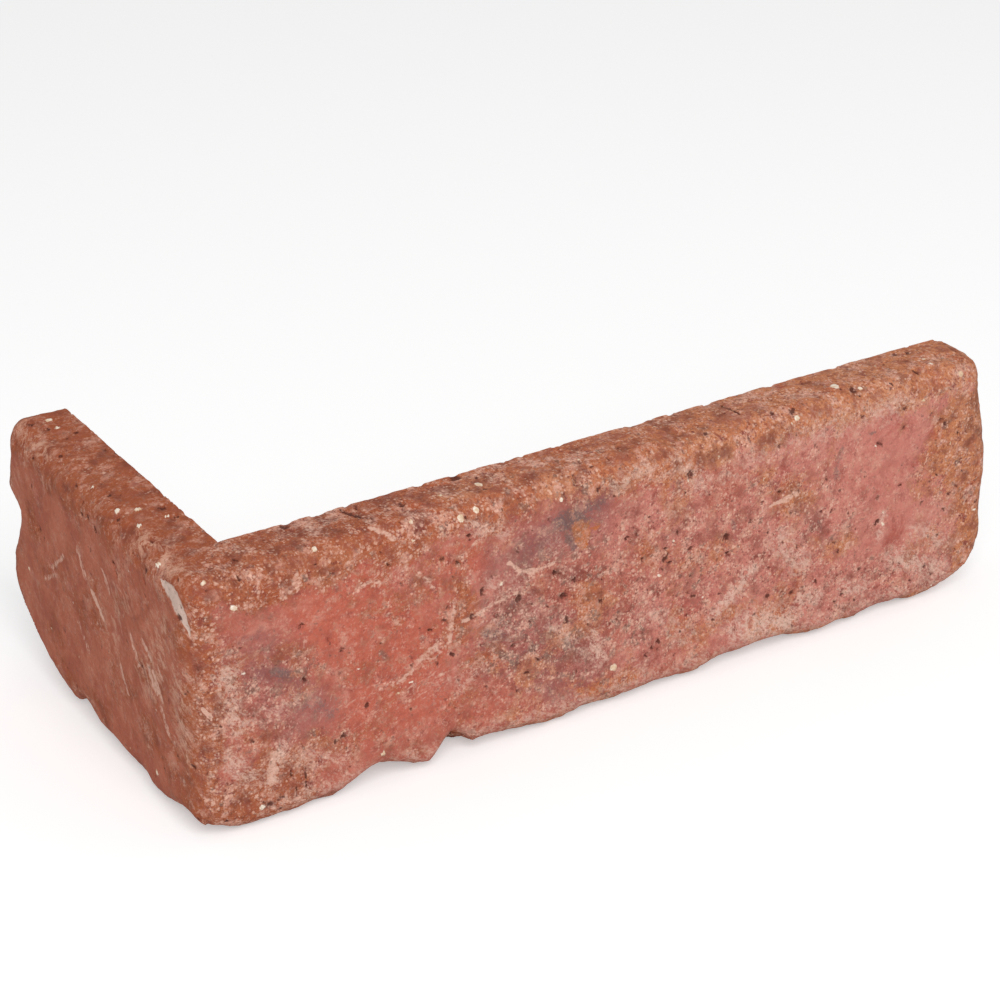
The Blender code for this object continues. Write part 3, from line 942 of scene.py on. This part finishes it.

    # The flake, the grog, and painted shade in the pits, holes and cracks
    colour = patched(colour, mark("flake"), around(fine, 0.8), 0.12, 0.38, 0.9, paint(218, 192, 178))
    # Pale yellowish grog, near white where a noise is low as a painted glint
    grog_and_glint_colour = mixed(step(small, 0.42, 0.58), paint(250, 236, 218), paint(226, 192, 158))
    colour = patched(colour, mark("grog"), around(fine, 1.2), 0.30, 0.60, 1.0, grog_and_glint_colour)
    # Painted shade: dark colour laid in the pits, holes and cracks
    colour = patched(colour, mark("hole_shade"), around(fine, 2.6), 0.20, 0.75, 0.88, paint(82, 36, 26))

    # The saw cuts: plain clay with fine upright saw marks
    saw_marks = noise(1.3 * mm, 4, 0.7, stretch=(16, 16, 1), angles=(5, 7, 0), warp=0.1)
    sawn_clay = mixed(step(noise(2.2 * mm, 4, 0.7), 0.35, 0.65), paint(178, 104, 78), paint(200, 130, 104))
    sawn_clay = mixed(step(saw_marks, 0.42, 0.62, 0.0, 0.35), sawn_clay, paint(214, 152, 126))
    colour = mixed(sawn, colour, sawn_clay)
    tree.links.new(colour, shader.inputs["Base Color"])
    shader.inputs["Roughness"].default_value = 0.88
    shader.inputs["Specular IOR Level"].default_value = 0.3

    # Grain too fine for the mesh
    bump = tree.nodes.new("ShaderNodeBump")
    bump.inputs["Distance"].default_value = 0.5 * mm
    bump.inputs["Strength"].default_value = 0.9
    grain_height = times(plus(around(fine, 0.8), around(sand, 0.6)), grainy)
    saw_mark_height = times(sawn, around(saw_marks, 0.5))
    tree.links.new(plus(grain_height, saw_mark_height), bump.inputs["Height"])
    tree.links.new(bump.outputs["Normal"], shader.inputs["Normal"])
    return material


slip_mesh.materials.append(fired_clay())
slip = bpy.data.objects.new("corner_slip_skin", slip_mesh)
bpy.context.scene.collection.objects.link(slip)
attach(slip, "root")
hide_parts("corner_slip")


# The place where it was photographed: a plain white studio floor, one broad lamp above the
# camera and a little to its right, and soft white light from all round. The camera stands where
# the photograph was taken from, as worked out from the slip's straight arrises.

white = (0.80, 0.80, 0.80, 1.0)
floor_reach = 3.0
floor_glow = 0.36
floor_mesh = bpy.data.meshes.new("floor")
floor_corners = np.array(((-1, -1, 0), (1, -1, 0), (1, 1, 0), (-1, 1, 0))) * floor_reach
floor_mesh.from_pydata(floor_corners.tolist(), [], [(0, 1, 2, 3)])
floor_paint = bpy.data.materials.new("floor_paint")
floor_paint.use_nodes = True
floor_nodes = floor_paint.node_tree.nodes
floor_links = floor_paint.node_tree.links
floor_shader = floor_nodes["Principled BSDF"]
floor_shader.inputs["Base Color"].default_value = white
floor_shader.inputs["Roughness"].default_value = 0.9
floor_shader.inputs["Specular IOR Level"].default_value = 0.0
# The camera sees the floor a little brighter than it is, as white, with the slip's shadow on it
seen_floor = floor_nodes.new("ShaderNodeAddShader")
glow = floor_nodes.new("ShaderNodeEmission")
glow.inputs["Strength"].default_value = floor_glow
lit = floor_nodes.new("ShaderNodeBsdfDiffuse")
lit.inputs["Color"].default_value = white
floor_links.new(glow.outputs[0], seen_floor.inputs[0])
floor_links.new(lit.outputs[0], seen_floor.inputs[1])
by_camera = floor_nodes.new("ShaderNodeLightPath").outputs["Is Camera Ray"]
either = floor_nodes.new("ShaderNodeMixShader")
floor_links.new(by_camera, either.inputs[0])
floor_links.new(floor_shader.outputs[0], either.inputs[1])
floor_links.new(seen_floor.outputs[0], either.inputs[2])
floor_links.new(either.outputs[0], floor_nodes["Material Output"].inputs["Surface"])
floor_mesh.materials.append(floor_paint)
floor = bpy.data.objects.new("floor", floor_mesh)
bpy.context.scene.collection.objects.link(floor)

soft_light = 0.46
world = bpy.data.worlds.new("studio")
world.use_nodes = True
world_nodes = world.node_tree.nodes
world_nodes["Background"].inputs["Color"].default_value = (1.0, 1.0, 1.0, 1.0)
world_nodes["Background"].inputs["Strength"].default_value = soft_light
bpy.context.scene.world = world

lamp_way = np.array((-0.26, -0.66, 0.70))
lamp_distance = 1.6
lamp_width = 1.1
lamp_watts = 15.5
lamp_data = bpy.data.lights.new("lamp", "AREA")
lamp_data.shape = "DISK"
lamp_data.size = lamp_width
lamp_data.energy = lamp_watts
lamp = bpy.data.objects.new("lamp", lamp_data)
lamp.location = lamp_way / np.linalg.norm(lamp_way) * lamp_distance
lamp.rotation_euler = Vector(lamp_way).to_track_quat("Z", "Y").to_euler()
bpy.context.scene.collection.objects.link(lamp)

camera_data = bpy.data.cameras.new("camera")
camera_data.sensor_width = 36.0
camera_data.lens = 94.20
camera_data.clip_start = 0.01
camera = bpy.data.objects.new("camera", camera_data)
camera_place = (-0.32920, -0.51937, 0.35309)
camera_heading = 1.01005
camera_pitch = 0.47725
camera_roll = -0.00299
camera.matrix_world = (
    Matrix.Translation(camera_place)
    @ Matrix.Rotation(camera_heading - math.pi / 2, 4, "Z")
    @ Matrix.Rotation(math.pi / 2 - camera_pitch, 4, "X")
    @ Matrix.Rotation(camera_roll, 4, "Z")
)
bpy.context.scene.collection.objects.link(camera)
bpy.context.scene.camera = camera
bpy.context.scene.view_settings.view_transform = "Standard"
